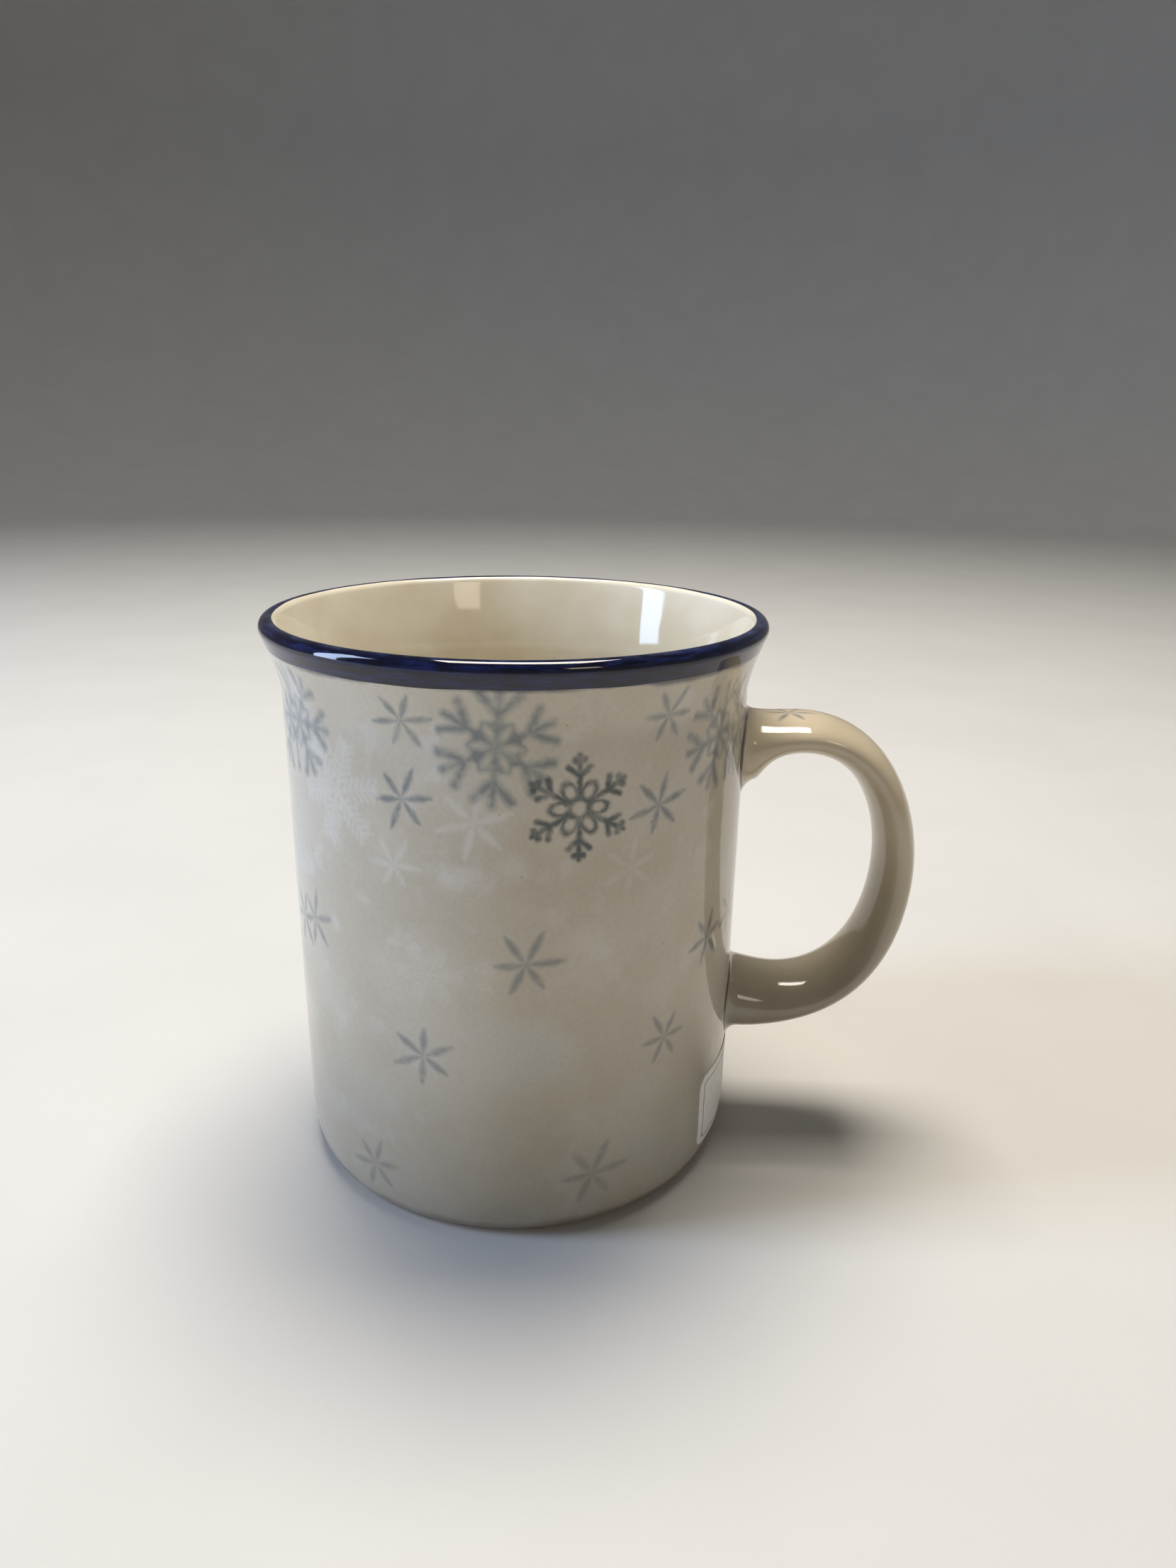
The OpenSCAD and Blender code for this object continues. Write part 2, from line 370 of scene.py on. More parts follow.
    def fern(self) -> Socket:
        """Returns a solid rosette with six cut petals and forked arms."""
        add = self.recipe.add
        wave = add("Math COSINE", add("Math MULTIPLY", self.angle, 12))
        rosette = add("Math SUBTRACT", self.reach, add("Math MULTIPLY_ADD", wave, 0.025, 0.44))
        cut = add("Math MULTIPLY", self.petal(0.27, 0.14, 0.055), -1.0)
        arms = (self.stroke((0.4, 0), (0.93, 0), 0.062), self.stroke((0.56, 0.02), (0.86, 0.29), 0.07))
        return self.join(add("Math MAXIMUM", rosette, cut), self.join(*arms))

    def ringed(self) -> Socket:
        """Returns a ring with six open petals and arms that end in three buds."""
        add = self.recipe.add
        ring = add("Math SUBTRACT", add("Math ABSOLUTE", add("Math SUBTRACT", self.reach, 0.16)), 0.03)
        petals = add("Math SUBTRACT", add("Math ABSOLUTE", self.petal(0.34, 0.165, 0.115)), 0.038)
        arm = self.stroke((0.19, 0), (0.88, 0), 0.056)
        side_bud = self.stroke((0.6, 0.02), (0.74, 0.19), 0.058)
        end_bud = self.stroke((0.86, 0), (0.87, 0.075), 0.07)
        return self.join(ring, petals, arm, side_bud, end_bud, self.stroke((0.9, 0), (0.94, 0), 0.055))

    def frost(self) -> Socket:
        """Returns thin arms with pairs of fine twigs."""
        starts = (0.2, 0.33, 0.46, 0.59, 0.72, 0.85)
        twigs = [self.stroke((s, 0), (s + 0.13, 0.24 - 0.1 * s), 0.024) for s in starts]
        return self.join(self.stroke((0.04, 0), (0.95, 0), 0.03), *twigs)

    def dab(self) -> Socket:
        """Returns a loose round dab."""
        return self.recipe.add("Math SUBTRACT", self.reach, 0.6)

    def over(self, ground: Socket) -> Socket:
        """Prints this slip's stamps over the ground.

        Args:
            ground: Colour of the surface under them.

        Returns:
            The printed colour.
        """
        add = self.recipe.add
        draw = {
            Sponge.STAR: self.star,
            Sponge.FERN: self.fern,
            Sponge.RINGED: self.ringed,
            Sponge.FROST: self.frost,
            Sponge.DAB: self.dab,
        }
        first, *others = CARVINGS[self.slip]
        edge, softness = draw[first](), self.EDGES[self.slip]
        for sponge in others:
            chosen = add("Math COMPARE", self.kind, sponge.value, 0.5)
            edge = add("Mix", chosen, None, edge, draw[sponge]())
        if Sponge.DAB in others:
            loose = add("Math COMPARE", self.kind, Sponge.DAB.value, 0.5)
            softness = add("MapRange", loose, 0.0, 1.0, softness, self.DAB_EDGE)
        inked = add("MapRange", add("Math DIVIDE", edge, softness), 1.0, -1.0, 0.0, 1.0, **EASED)
        dry = self.recipe.patches(2.2, 0.3, 0.6, (0.62, 1.0), 4)
        cover = add("Math MULTIPLY", add("Math MULTIPLY", inked, dry), self.strength)
        cover = add("Math MULTIPLY", cover, self.COVER[self.slip])
        return add("Mix", cover, named={6: ground, 7: self.slip.value}, **COLOURS)

    @classmethod
    def print_all(cls, recipe: Recipe, ground: Socket) -> Socket:
        """Prints every slip in turn over the ground and returns the colour."""
        for slip in Slip:
            ground = cls(recipe, slip).over(ground)
        return ground


@dataclass(frozen=True)
class StampedGlaze:
    """Sponged slip under a clear feldspar glaze on stoneware: milky depth under sharp reflections."""

    # heights of the cobalt line and of the glaze's lower edge
    band_z: float
    foot_z: float
    ior: float = 1.52
    # fired to a full gloss, with a faint ripple
    roughness: float = 0.04
    # cream-grey slip, its warmer and cooler clouds and its pale dabs
    ground: str = "#c9c1b1"
    warm: str = "#bfb5a2"
    cool: str = "#c6c4bc"
    dab: str = "#d6d1ca"
    # colour of the painted shade towards the foot
    painted_foot_shade: str = "#8b8577"

    def make(self) -> bpy.types.Material:
        """Builds the material: clouds, dabs, stamps, specks, the blue that bleeds down from the band and
        painted shade towards the foot.
        """
        recipe = Recipe("sponged_slip_under_clear_glaze", self.ior, self.roughness)
        add = recipe.add
        # clouds of slip about 16 mm across, dabs of the sponge about 7 mm and its grain under 1 mm
        clouds = (
            (recipe.patches(16, 0.38, 0.62, (0, 0.7), 3), self.warm),
            (recipe.patches(23, 0.5, 0.7, (0, 0.7)), self.cool),
            (recipe.patches(7, 0.56, 0.74, (0, 0.5), 3), self.dab),
        )
        colour = self.ground
        for cover, tint in clouds:
            colour = add("Mix", cover, named={6: colour, 7: tint}, **COLOURS)
        grain = recipe.patches(0.7, 0.3, 0.7, (0.965, 1.03), 4)
        grey = add("CombineXYZ", grain, grain, grain)
        colour = add("Mix", 1.0, named={6: colour, 7: grey}, blend_type="MULTIPLY", **COLOURS)
        colour = SpongePrint.print_all(recipe, colour)
        colour = recipe.iron_specks(colour, 3.2, 0.3)
        height = add("SeparateXYZ", recipe.place).node.outputs[2]
        wave = add("Math ADD", recipe.patches(9, 0.3, 0.7, (0, 0.9 * MM)), height)
        band_z, foot_z = self.band_z * MM, self.foot_z * MM
        bleed = add("MapRange", wave, band_z - 0.3 * MM, band_z + 0.8 * MM, 0, 0.75, **EASED)
        colour = add("Mix", bleed, named={6: colour, 7: "#2a3047"}, **COLOURS)
        # painted shade: the wall turns darker and browner towards the foot
        low = add("MapRange", wave, 0.55 * band_z, 0.08 * band_z, 0, 0.6, **EASED)
        colour = add("Mix", low, named={6: colour, 7: self.painted_foot_shade}, **COLOURS)
        # the glaze is browner still where it ran down to the foot
        pooled = add("MapRange", wave, foot_z + 2.4 * MM, foot_z + 0.5 * MM, 0, 0.55, **EASED)
        colour = add("Mix", pooled, named={6: colour, 7: "#6c6350"}, **COLOURS)
        rough = recipe.patches(11, 0.3, 0.7, (self.roughness, self.roughness + 0.05))
        return recipe.finish(colour, rough, recipe.patches(6, 0.2, 0.8, detail=1), 0.03)


@dataclass(frozen=True)
class CreamGlaze:
    """Cream tin-white glaze, poured inside or brushed on the strap: warm, opaque and wet-looking."""

    name: str
    colour: str = "#e5decc"
    thick: str = "#dad0b8"
    ior: float = 1.52
    roughness: float = 0.05
    stamped: bool = False
    # radius of the wall that a dark line runs along at the roots, with its widths at the lower and upper root;
    # the line is partly cobalt pooled at the joint and partly painted shade in the crease
    line_at_r: float = 0.0
    line_z: Pair = (20.0, 82.0)
    line_w: Pair = (0.28, 0.5)
    # heights between which painted shade turns the strap darker and greyer
    painted_shade_z: Pair = (66.0, 26.0)

    def make(self) -> bpy.types.Material:
        """Builds the material, with stamps and the dark root line where the piece has them, and painted shade
        on the strap's lower half where it has the root line.
        """
        recipe = Recipe(self.name, self.ior, self.roughness)
        add = recipe.add
        thick = recipe.patches(14, 0.35, 0.68, (0, 0.8), 3)
        colour = add("Mix", thick, named={6: self.colour, 7: self.thick}, **COLOURS)
        colour = recipe.iron_specks(colour, 4.0, 0.28)
        if self.stamped:
            colour = SpongePrint.print_all(recipe, colour)
        if self.line_at_r:
            height = add("SeparateXYZ", recipe.place).node.outputs[2]
            # painted shade: the strap turns darker and greyer on its lower half
            strap_shade = add("MapRange", height, self.painted_shade_z[0] * MM, self.painted_shade_z[1] * MM, 0, 0.62, **EASED)
            colour = add("Mix", strap_shade, named={6: colour, 7: "#6f6c61"}, **COLOURS)
            flat = add("VectorMath MULTIPLY", recipe.place, (1, 1, 0))
            radius = add("VectorMath LENGTH", flat, out="Value")
            out_by = add("Math SUBTRACT", radius, self.line_at_r * MM)
            low, high = (z * MM for z in self.line_z)
            width = add("MapRange", height, low, high, *(w * MM for w in self.line_w))
            ragged = add("Math MULTIPLY", width, recipe.patches(4, 0.2, 0.8, (0.6, 1.3)))
            # the dark line at the roots: partly cobalt pooled at the joint, partly painted shade in the crease
            # where the strap meets the wall
            line = add("MapRange", add("Math DIVIDE", out_by, ragged), 1.0, 0.35, 0, 0.85, **EASED)
            colour = add("Mix", line, named={6: colour, 7: "#141c38"}, **COLOURS)
        rough = recipe.patches(9, 0.3, 0.7, (self.roughness, self.roughness + 0.05))
        return recipe.finish(colour, rough, recipe.patches(7, 0.2, 0.8, detail=1), 0.035)


@dataclass(frozen=True)
class CobaltGlaze:
    """Cobalt slip banded on the wheel under clear glaze: near black where thick, bluer on the lip."""

    lip_z: float
    thick: str = "#090b22"
    thin: str = "#1b2350"
    worn: str = "#4a5170"
    ior: float = 1.54
    roughness: float = 0.035

    def make(self) -> bpy.types.Material:
        """Builds the material, with brush streaks round the rim."""
        recipe = Recipe("banded_cobalt_glaze", self.ior, self.roughness)
        add = recipe.add
        # brush streaks run round the rim, so the noise is squeezed in height
        streaked = add("VectorMath MULTIPLY", recipe.place, (1, 1, 9))
        streaks = add("TexNoise", named={"Vector": streaked, "Scale": per_metre(5), "Detail": 3})
        thinned = add("MapRange", streaks, 0.42, 0.7, **EASED)
        colour = add("Mix", thinned, named={6: self.thick, 7: self.thin}, **COLOURS)
        height = add("SeparateXYZ", recipe.place).node.outputs[2]
        crest = add("MapRange", height, (self.lip_z - 0.35) * MM, self.lip_z * MM, 0, 0.4, **EASED)
        worn = add("Math MULTIPLY", crest, recipe.patches(3, 0.4, 0.7))
        colour = add("Mix", worn, named={6: colour, 7: self.worn}, **COLOURS)
        rough = recipe.patches(8, 0.3, 0.7, (self.roughness, 0.09))
        return recipe.finish(colour, rough, recipe.patches(6, 0.2, 0.8, detail=1), 0.03)


@dataclass(frozen=True)
class FiredClay:
    """Stoneware clay, thrown and fired bare: grey-buff, dry, sandy and speckled."""

    name: str
    colour: str = "#b99b78"
    shade: str = "#9c8061"
    grit: str = "#7a6248"
    grit_mm: float = 0.5

    def make(self) -> bpy.types.Material:
        """Builds the material, with the relief of the clay's grit."""
        recipe = Recipe(self.name, 1.5, 0.85)
        add = recipe.add
        shade = recipe.patches(8, 0.35, 0.65, detail=4)
        colour = add("Mix", shade, named={6: self.colour, 7: self.shade}, **COLOURS)
        grit = recipe.patches(self.grit_mm, 0.55, 0.75, (0, 0.5), 3)
        colour = add("Mix", grit, named={6: colour, 7: self.grit}, **COLOURS)
        colour = recipe.iron_specks(colour, 2.0, 0.4)
        rough = recipe.patches(5, 0.3, 0.7, (0.78, 0.92))
        return recipe.finish(colour, rough, recipe.patches(self.grit_mm, 0.2, 0.8, detail=3), 0.06)


@dataclass(frozen=True)
class LabelPaper:
    """Coated label paper, die-cut: smooth, greyish white, with a plain printed frame and no lettering."""

    half_w: float
    half_h: float
    # the printed frame: how far in from the edge it stands, half its width and the rounding of its corners
    inset: float = 1.6
    half_line: float = 0.15
    corner: float = 1.6

    def make(self) -> bpy.types.Material:
        """Builds the material, with fibre mottling and a thin printed frame."""
        recipe = Recipe("coated_label_paper", 1.48, 0.42)
        add = recipe.add
        mottle = recipe.patches(1.2, 0.3, 0.7, detail=4)
        colour = add("Mix", mottle, named={6: "#efeeea", 7: "#e4e3df"}, **COLOURS)
        sheet = add("VectorMath ABSOLUTE", add("UVMap", uv_map=PriceLabel.SHEET))
        x, y, _ = add("SeparateXYZ", sheet).node.outputs
        gap_x = add("Math SUBTRACT", self.half_w - self.inset, x)
        gap_y = add("Math SUBTRACT", self.half_h - self.inset, y)
        rim = add("Math ABSOLUTE", add("Math SMOOTH_MIN", gap_x, gap_y, self.corner))
        printed = add("MapRange", rim, self.half_line + 0.08, self.half_line - 0.05, 0, 0.7, **EASED)
        colour = add("Mix", printed, named={6: colour, 7: "#55585c"}, **COLOURS)
        rough = recipe.patches(3, 0.3, 0.7, (0.38, 0.5))
        return recipe.finish(colour, rough, recipe.patches(0.4, 0.2, 0.8, detail=3), 0.01)


@dataclass(frozen=True)
class StudioPaper:
    """Pale matt background paper under and behind the mug."""

    colour: str = "#cdcbc7"
    shade: str = "#cac8c4"

    def make(self) -> bpy.types.Material:
        """Builds the material, with the faint tooth of the paper."""
        recipe = Recipe("pale_background_paper", 1.45, 0.9)
        clouds = recipe.patches(60, 0.3, 0.7, detail=3)
        colour = recipe.add("Mix", clouds, named={6: self.colour, 7: self.shade}, **COLOURS)
        rough = recipe.patches(20, 0.3, 0.7, (0.85, 0.95))
        return recipe.finish(colour, rough, recipe.patches(1, 0.2, 0.8), 0.01)


# ----------------------------------------------------------------------------------------
# Meshes
# ----------------------------------------------------------------------------------------


@dataclass
class Shell:
    """A closed skin on a grid of points, which go round it one way and along its outline the other way.

    Attributes:
        name: Name of the piece.
        points: Places in millimetres, as steps round by steps along by three.
        seen: First and last column of the side that shows. The other side lies against the clay.
        joined: Whether the outline's end meets its start. An open outline starts and ends on an axis.
        rows: How many strips the side that shows is unwrapped into.
    """

    name: str
    points: np.ndarray
    seen: tuple[int, int]
    joined: bool = True
    rows: int = 2

    UNWRAP = "OFBake"
    # share of the unwrap's height for the side that shows, and the space left round each strip
    SEEN_SHARE = 0.95
    MARGIN = 0.004
    SHARP = math.radians(50)
    WELD = 1e-7

    def __post_init__(self) -> None:
        """Numbers the grid's faces."""
        around, along = self.points.shape[:2]
        columns = along if self.joined else along - 1
        grid = np.meshgrid(np.arange(around), np.arange(columns), indexing="ij")
        self.step, self.column = (g.ravel() for g in grid)

    def corners(self, values: np.ndarray) -> np.ndarray:
        """Reads a value at each corner of each face.

        Args:
            values: Values at the grid's points, with one more step round than there are points, by two.

        Returns:
            The values, as faces by four by two.
        """
        i, j = self.step, self.column
        k = (j + 1) % values.shape[1]
        return np.stack([values[i, j], values[i + 1, j], values[i + 1, k], values[i, k]], axis=1)

    def unwrap(self) -> np.ndarray:
        """Lays the side that shows out in strips and the hidden side in a thin strip above them."""
        around, along = self.points.shape[:2]
        first, last = self.seen
        line = self.points[0]
        length = np.concatenate([[0], np.cumsum(np.linalg.norm(np.diff(line, axis=0), axis=1))])
        share = (length - length[first]) / (length[last] - length[first])
        per = around / self.rows
        row = np.floor(self.step / per)
        shown = (self.column >= first) & (self.column < last)
        tall = self.SEEN_SHARE / self.rows
        result = np.zeros((len(self.step), 4, 2))
        for corner, (di, dj) in enumerate(((0, 0), (1, 0), (1, 1), (0, 1))):
            column = np.minimum(self.column + dj, along - 1)
            u = (self.step + di - row * per) / per
            v = tall * row + self.MARGIN + (tall - 2 * self.MARGIN) * share[column]
            hidden_tall = 1 - self.SEEN_SHARE - 2 * self.MARGIN
            hidden_v = self.SEEN_SHARE + self.MARGIN + hidden_tall * (self.column + dj) / (along + 1)
            result[:, corner, 0] = np.where(shown, u, (self.step + di) / around)
            result[:, corner, 1] = np.where(shown, v, hidden_v)
        result[..., 0] = self.MARGIN + (1 - 2 * self.MARGIN) * result[..., 0]
        return result

    def build(
        self, material: bpy.types.Material, replaced: str, slot: str, maps: dict | None = None
    ) -> None:
        """Makes the object, dresses it and hands it to the frame.

        Args:
            material: Its finish.
            replaced: The CAD node that it stands for.
            slot: Not used.
            maps: More UV maps, by name, as faces by four by two.
        """
        around, along = self.points.shape[:2]
        i, j = self.step, self.column
        i_next, j_next = (i + 1) % around, (j + 1) % along
        here, there = i * along, i_next * along
        faces = np.stack([here + j, there + j, there + j_next, here + j_next], axis=1)
        mesh = bpy.data.meshes.new(self.name)
        mesh.from_pydata((self.points.reshape(-1, 3) * MM).tolist(), [], faces.tolist())
        for name, values in {self.UNWRAP: self.unwrap(), **(maps or {})}.items():
            layer = mesh.uv_layers.new(name=name)
            layer.uv.foreach_set("vector", values.astype(np.float32).ravel())
        skin = bmesh.new()
        skin.from_mesh(mesh)
        bmesh.ops.remove_doubles(skin, verts=skin.verts, dist=self.WELD)
        bmesh.ops.recalc_face_normals(skin, faces=skin.faces)
        skin.to_mesh(mesh)
        skin.free()
        mesh.shade_smooth()
        mesh.set_sharp_from_angle(angle=self.SHARP)
        mesh.materials.append(material)
        piece = bpy.data.objects.new(self.name, mesh)
        bpy.context.scene.collection.objects.link(piece)
        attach(piece, BODY)
        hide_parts(replaced)
        log.info("%s: %d faces, %s", self.name, len(mesh.polygons), material.name)


def spin(outlines: Sequence[np.ndarray], angles: np.ndarray) -> np.ndarray:
    """Places one outline at each angle round the axis.

    Args:
        outlines: Radius and height along each outline, in millimetres.
        angles: Angle of each outline, in radians.

    Returns:
        The points, as angles by outline by three.
    """
    r, z = np.moveaxis(np.asarray(outlines), 2, 0)
    return np.stack([r * np.cos(angles)[:, None], r * np.sin(angles)[:, None], z], axis=2)


def pairs(r: np.ndarray | float, z: np.ndarray | float) -> np.ndarray:
    """Puts radii and heights side by side. Either may be one number for the whole line."""
    return np.stack(np.broadcast_arrays(r, z), axis=1)


def waver(angle: float, sizes: Sequence[float], counts: Sequence[int]) -> float:
    """Returns how far a hand-drawn line strays at an angle, from waves of some sizes and counts."""
    return sum(size * math.sin(count * angle + 1.7 * count) for size, count in zip(sizes, counts))


@dataclass(frozen=True)
class CupShape:
    """Outline of the thrown cup, in millimetres, from its height and the radius of its rim."""

    height: float
    rim_r: float
    rim_flare: float = 3.0
    flare_h: float = 12.0
    flare_curve: float = 1.4
    lip_r: float = 1.6
    wall_t: float = 4.2
    inner_flare_h: float = 15.0
    floor_h: float = 6.5
    floor_r: float = 8.0
    foot_in: float = 2.7
    foot_h: float = 9.6
    ring_w: float = 6.0
    ring_turn_in: float = 0.7
    recess_slope: float = 2.5
    recess_h: float = 2.0
    bare_h: float = 1.5
    glaze_t: float = 0.3
    band_h: float = 4.2
    band_over: float = math.radians(112)

    @classmethod
    def from_frame(cls) -> "CupShape":
        """Reads the height and the rim from the band's box."""
        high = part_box("cobalt_rim_band")[1]
        return cls(height=round(high[2] / MM, 2), rim_r=round(high[1] / MM, 2))

    @property
    def wall_r(self) -> float:
        """Radius of the straight wall, over the glaze."""
        return self.rim_r - self.rim_flare

    @property
    def band_z(self) -> float:
        """Height of the band's lower edge."""
        return self.height - self.band_h

    @property
    def lip_centre(self) -> np.ndarray:
        """Centre of the rounded lip, as radius and height."""
        return np.array([self.rim_r - self.lip_r, self.height - self.lip_r])

    @property
    def bare_turn(self) -> float:
        """Angle down the foot's curve at which the glaze stops."""
        return math.asin((self.foot_h - self.bare_h) / self.foot_h)

    def flare_start(self, side: int) -> np.ndarray:
        """Returns where the outside (1) or inside (-1) starts to flare, as radius and height."""
        if side > 0:
            return np.array([self.wall_r, self.height - self.flare_h])
        return np.array([self.wall_r - self.wall_t, self.height - self.inner_flare_h])

    def lean(self, side: int) -> float:
        """Returns how far the wall leans out where it runs into the lip, so that there is no corner."""
        start = self.flare_start(side)
        lean = 0.0
        for _ in range(6):
            end = self.lip_end(side, lean)
            lean = math.atan(self.flare_curve * (end[0] - start[0]) / (end[1] - start[1]))
        return lean

    def lip_end(self, side: int, lean: float) -> np.ndarray:
        """Returns the point where the lip's arc starts at a given lean."""
        return self.lip_centre + side * self.lip_r * np.array([math.cos(lean), -math.sin(lean)])

    def flare(self, side: int, z: np.ndarray, back: float) -> np.ndarray:
        """Follows a wall through its flare.

        Args:
            side: 1 for the outside, -1 for the inside.
            z: Heights along it.
            back: How far behind the glazed face.

        Returns:
            Radius and height at each.
        """
        start = self.flare_start(side)
        run = self.lip_end(side, self.lean(side)) - start
        share = np.clip((z - start[1]) / run[1], 0, None)
        r = start[0] + run[0] * share**self.flare_curve
        slope = self.flare_curve * run[0] * share ** (self.flare_curve - 1) / run[1]
        across = side * back / np.hypot(1, slope)
        return pairs(r - across, z + across * slope)

    def lip(self, start: float, end: float, steps: int, back: float) -> np.ndarray:
        """Returns the lip's arc between two angles, counted up from straight out."""
        a = np.linspace(start, end, steps)
        return self.lip_centre + (self.lip_r - back) * pairs(np.cos(a), np.sin(a))

    def foot(self, a: np.ndarray, back: np.ndarray) -> np.ndarray:
        """Returns the quarter ellipse from the wall in to the foot, at angles down from the wall."""
        normal = pairs(np.cos(a) / self.foot_in, -np.sin(a) / self.foot_h)
        normal /= np.linalg.norm(normal, axis=1, keepdims=True)
        foot_r = self.wall_r - self.foot_in
        face = pairs(foot_r + self.foot_in * np.cos(a), self.foot_h - self.foot_h * np.sin(a))
        return face - back[:, None] * normal

    def wall_at(self, z: np.ndarray) -> np.ndarray:
        """Returns the radius of the glazed wall at heights below the flare."""
        down = np.clip((self.foot_h - z) / self.foot_h, 0, 1)
        return self.wall_r - self.foot_in + self.foot_in * np.sqrt(1 - down**2)


STAR, FERN, RINGED, FROST, DAB = Sponge
WHITE, GREY, DARK = Slip

# one round of the pattern: sponge, degrees round the cup, height, radius, turn, slip and strength
ROUND_OF_STAMPS = (
    (STAR, -109.3, 90.2, 5.4, 8, GREY, 0.72),
    (STAR, -110.1, 78.0, 5.6, 8, GREY, 0.84),
    (STAR, -51.7, 90.1, 5.4, 0, GREY, 0.66),
    (STAR, -53.2, 76.0, 5.8, 14, GREY, 0.8),
    (STAR, -83.6, 52.2, 6.5, 4, GREY, 0.66),
    (STAR, -107.4, 34.5, 6.5, 26, GREY, 0.72),
    (STAR, -33.6, 48.9, 6.2, 10, GREY, 0.78),
    (STAR, -48.6, 34.1, 5.7, 0, GREY, 0.72),
    (STAR, -122.7, 9.9, 6.2, 12, GREY, 0.76),
    (STAR, -67.9, 11.8, 6.8, 5, GREY, 0.68),
    (STAR, -141.9, 51.7, 6.2, 18, GREY, 0.66),
    (FERN, -89.4, 87.0, 9.4, 25, GREY, 0.86),
    (FERN, -33.1, 84.5, 9.2, 10, GREY, 0.82),
    (FERN, -142.8, 86.0, 9.2, 0, GREY, 0.74),
    (RINGED, -72.3, 77.4, 8.6, 30, DARK, 0.92),
    (STAR, -94.4, 75.3, 6.4, 16, WHITE, 0.42),
    (STAR, -112.8, 67.1, 5.2, 0, WHITE, 0.32),
    (STAR, -60.1, 66.5, 5.6, 22, WHITE, 0.24),
    (FROST, -128.2, 76.9, 9.0, 12, WHITE, 0.5),
    (FROST, -105.2, 49.5, 5.6, 4, WHITE, 0.26),
    (DAB, -86.0, 68.4, 3.4, 0, WHITE, 0.3),
    (DAB, -99.3, 65.6, 3.0, 0, WHITE, 0.22),
    (DAB, -102.0, 83.0, 3.4, 0, WHITE, 0.2),
    (DAB, -70.3, 55.8, 3.6, 0, WHITE, 0.16),
)
# the maker goes round three times; each later round is turned on by this many degrees and drifts in height
ROUND_TURN = 122.0
ROUND_DRIFT = (0.0, -1.6, 1.2)


@dataclass(frozen=True)
class Cup:
    """The thrown cup: the clay body with its stamped glaze, poured inside, glazed base and cobalt rim."""

    shape: CupShape
    steps: int = 360

    # points along the parts of the outlines, from the foot over the lip to the floor
    FOOT_POINTS = 24
    WALL_POINTS = 80
    FLARE_POINTS = 16
    BAND_POINTS = 10
    LIP_POINTS = 28
    INNER_LIP_POINTS = 10
    INNER_FLARE_POINTS = 20
    INNER_WALL_POINTS = 36
    CORNER_POINTS = 16
    FLOOR_POINTS = 14
    EDGE_POINTS = 5
    DISC_POINTS = 12
    # the rounded edge where the stamped glaze stopped running, as angles down the foot's curve
    BEAD = math.radians(3)
    # how far the base glaze was wiped back from its recess
    WIPED_BACK = 0.5

    @property
    def angles(self) -> np.ndarray:
        """Angles round the cup at which outlines stand."""
        return np.arange(self.steps) * 2 * math.pi / self.steps

    def band_line(self, angle: float) -> float:
        """Returns the height of the cobalt's lower edge, which wavers as the brush did."""
        return self.shape.band_z + waver(angle, (0.1, 0.06, 0.04), (3, 8, 19))

    def inner_line(self, angle: float) -> float:
        """Returns the angle over the lip at which the cobalt stops inside."""
        return self.shape.band_over + math.radians(waver(angle, (3.0, 1.5, 1.0), (4, 9, 17)))

    def foot_line(self, angle: float) -> float:
        """Returns the angle down the foot at which the glaze stops."""
        return self.shape.bare_turn + math.radians(waver(angle, (1.6, 1.0, 0.6), (2, 7, 16)))

    def wall_side(self, angle: float, back: float, low_turn: float) -> np.ndarray:
        """Returns the outer wall from the foot up to the cobalt, back behind its face."""
        shape = self.shape
        foot_a = np.linspace(low_turn, 0, self.FOOT_POINTS)
        foot = shape.foot(foot_a, np.full_like(foot_a, back))
        flare_low = shape.height - shape.flare_h
        straight_z = np.linspace(shape.foot_h, flare_low, self.WALL_POINTS)[1:]
        flare_z = np.linspace(flare_low, self.band_line(angle), self.FLARE_POINTS)[1:]
        return np.concatenate([foot, shape.flare(1, np.concatenate([straight_z, flare_z]), back)])

    def outer_outline(self, angle: float) -> np.ndarray:
        """Returns the stamped glaze's outline: face, back and the rounded edge where it stopped running."""
        shape, low = self.shape, self.foot_line(angle)
        turn = np.radians([22.5, 45.0, 67.5])
        edge = shape.foot(low + self.BEAD * np.sin(turn), shape.glaze_t * (1 - np.cos(turn)))
        front = self.wall_side(angle, 0, low)
        rear = self.wall_side(angle, shape.glaze_t, low + self.BEAD)
        return np.concatenate([front, rear[::-1], edge[::-1]])

    def band_side(self, angle: float, back: float) -> np.ndarray:
        """Returns the banded part from its lower edge over the lip, back behind its face."""
        shape = self.shape
        lean = shape.lean(1)
        z = np.linspace(self.band_line(angle), shape.lip_end(1, lean)[1], self.BAND_POINTS)
        over = shape.lip(-lean, self.inner_line(angle), self.LIP_POINTS, back)
        return np.concatenate([shape.flare(1, z, back)[:-1], over])

    def inner_side(self, angle: float, back: float) -> np.ndarray:
        """Returns the inside from the cobalt down to the middle of the floor, back behind its face."""
        shape = self.shape
        lean = shape.lean(-1)
        lip = shape.lip(self.inner_line(angle), math.pi - lean, self.INNER_LIP_POINTS, back)
        start_z, floor_z = shape.lip_end(-1, lean)[1], shape.floor_h + shape.floor_r
        flare_low = shape.height - shape.inner_flare_h
        flare = shape.flare(-1, np.linspace(start_z, flare_low, self.INNER_FLARE_POINTS), back)[1:]
        wall_r = shape.wall_r - shape.wall_t
        wall_z = np.linspace(flare_low, floor_z, self.INNER_WALL_POINTS)[1:-1]
        wall = pairs(wall_r + back, wall_z)
        turn = np.linspace(0, -math.pi / 2, self.CORNER_POINTS)
        arc = pairs(np.cos(turn), np.sin(turn)) * (shape.floor_r + back)
        corner = arc + np.array([wall_r - shape.floor_r, floor_z])
        floor_x = np.linspace(wall_r - shape.floor_r, 0, self.FLOOR_POINTS)[1:]
        floor = pairs(floor_x, shape.floor_h - back)
        return np.concatenate([lip, flare, wall, corner, floor])

